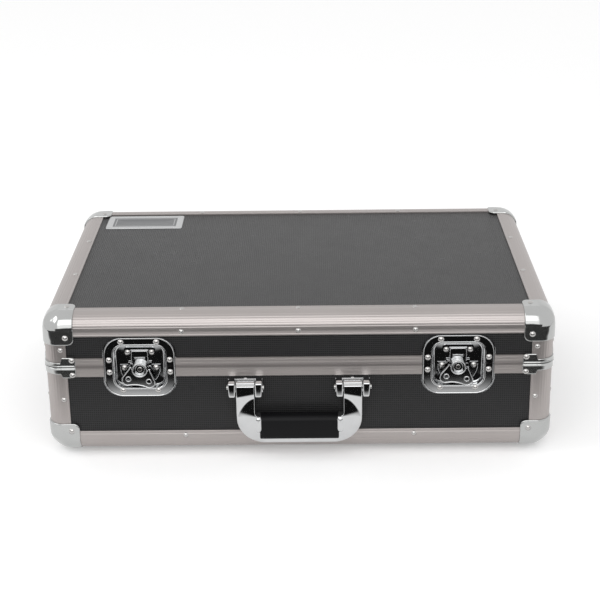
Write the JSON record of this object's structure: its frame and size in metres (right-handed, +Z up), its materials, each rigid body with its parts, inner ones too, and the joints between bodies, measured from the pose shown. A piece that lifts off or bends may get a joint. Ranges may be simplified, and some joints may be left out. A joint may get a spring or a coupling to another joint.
{
  "type": "cd player flight case",
  "caption": "Shallow flight case for a CD player: laminated panels in aluminium edge angles, steel ball corners, hinged lid, recessed butterfly latches and a drop handle.",
  "frame": {"origin": "on the floor, under the middle of the object's bounding box, handle and hinges included", "axes": "+X to the right as seen from the latches, +Y from the latches and handle at the front to the hinges at the back, +Z up"},
  "size_m": [0.566, 0.4038, 0.174],
  "materials": {
    "laminate": "plywood faced with black embossed laminate",
    "edge_aluminium": "anodised, fine ribs along the length",
    "bar_aluminium": "anodised, shallow ribs",
    "corner_steel": "nickel plated pressed sheet",
    "latch_chrome": "bright chrome",
    "handle_chrome": "bright chrome",
    "pin_steel": "turned",
    "grip_plastic": "satin moulded",
    "hinge_steel": "zinc plated",
    "foam": "closed-cell foam",
    "rubber": "matt",
    "screw_steel": "zinc plated",
    "rivet_steel": "nickel plated dome",
    "plate_metal": "blank plate in a bevelled frame"
  },
  "bodies": {
    "base": {"base_bottom_panel": "laminate", "base_back_panel": "laminate", "base_front_panel": "laminate", "base_left_panel": "laminate", "base_right_panel": "laminate", "base_front_angle": "edge_aluminium", "base_back_angle": "edge_aluminium", "base_left_angle": "edge_aluminium", "base_right_angle": "edge_aluminium", "base_corner_angles": "edge_aluminium", "base_front_closing_bar": "bar_aluminium", "base_back_closing_bar": "bar_aluminium", "base_left_closing_bar": "bar_aluminium", "base_right_closing_bar": "bar_aluminium", "base_ball_corners": "corner_steel", "base_mid_corners": "corner_steel", "left_latch_lower_dish": "latch_chrome", "right_latch_lower_dish": "latch_chrome", "latch_base_plates": "latch_chrome", "handle_brackets": "handle_chrome", "handle_pins": "pin_steel", "hinge_base_leaves": "hinge_steel", "hinge_pins": "pin_steel", "base_foam_floor": "foam", "base_foam_walls": "foam", "foam_divider": "foam", "rubber_feet": "rubber", "base_rivets": "rivet_steel", "base_screws": "screw_steel"},
    "lid": {"lid_top_panel": "laminate", "lid_back_panel": "laminate", "lid_front_panel": "laminate", "lid_left_panel": "laminate", "lid_right_panel": "laminate", "lid_front_angle": "edge_aluminium", "lid_back_angle": "edge_aluminium", "lid_left_angle": "edge_aluminium", "lid_right_angle": "edge_aluminium", "lid_corner_angles": "edge_aluminium", "lid_front_closing_bar": "bar_aluminium", "lid_back_closing_bar": "bar_aluminium", "lid_left_closing_bar": "bar_aluminium", "lid_right_closing_bar": "bar_aluminium", "lid_ball_corners": "corner_steel", "lid_mid_corners": "corner_steel", "left_latch_upper_dish": "latch_chrome", "right_latch_upper_dish": "latch_chrome", "latch_keepers": "latch_chrome", "hinge_lid_leaves": "hinge_steel", "lid_foam_pad": "foam", "name_plate": "plate_metal", "lid_rivets": "rivet_steel"},
    "handle": {"handle_bail": "handle_chrome", "handle_grip": "grip_plastic"},
    "left_cam": {"left_latch_cam": "latch_chrome"},
    "left_wing": {"left_latch_wing": "latch_chrome"},
    "left_hook": {"left_latch_hook": "latch_chrome"},
    "right_cam": {"right_latch_cam": "latch_chrome"},
    "right_wing": {"right_latch_wing": "latch_chrome"},
    "right_hook": {"right_latch_hook": "latch_chrome"}
  },
  "joints": [
    {"name": "lid_hinge", "type": "hinge", "parent": "base", "child": "lid", "pos_m": [0, 0.1979, 0.1104], "axis": [-1, 0, 0], "range_deg": [0, 100]},
    {"name": "handle_swing", "type": "hinge", "parent": "base", "child": "handle", "pos_m": [0, -0.1923, 0.0884], "axis": [-1, 0, 0], "range_deg": [0, 100]},
    {"name": "left_latch_turn", "type": "hinge", "parent": "base", "child": "left_cam", "pos_m": [-0.1749, -0.1833, 0.1068], "axis": [0, 1, 0], "range_deg": [0, 180]},
    {"name": "left_wing_fold", "type": "hinge", "parent": "left_cam", "child": "left_wing", "pos_m": [-0.1749, -0.18395, 0.1068], "axis": [-0.9903, 0, 0.1392], "range_deg": [0, 90]},
    {"name": "left_hook_slide", "type": "slide", "parent": "base", "child": "left_hook", "axis": [0, 0, 1], "range_m": [0, 0.005]},
    {"name": "right_latch_turn", "type": "hinge", "parent": "base", "child": "right_cam", "pos_m": [0.1749, -0.1833, 0.1068], "axis": [0, 1, 0], "range_deg": [0, 180]},
    {"name": "right_wing_fold", "type": "hinge", "parent": "right_cam", "child": "right_wing", "pos_m": [0.1749, -0.18395, 0.1068], "axis": [-0.9903, 0, 0.1392], "range_deg": [0, 90]},
    {"name": "right_hook_slide", "type": "slide", "parent": "base", "child": "right_hook", "axis": [0, 0, 1], "range_m": [0, 0.005]}
  ],
  "couplings": [
    {"joint": "left_hook_slide", "follows": "left_latch_turn", "m_per_rad": 0.0015915},
    {"joint": "right_hook_slide", "follows": "right_latch_turn", "m_per_rad": 0.0015915}
  ]
}
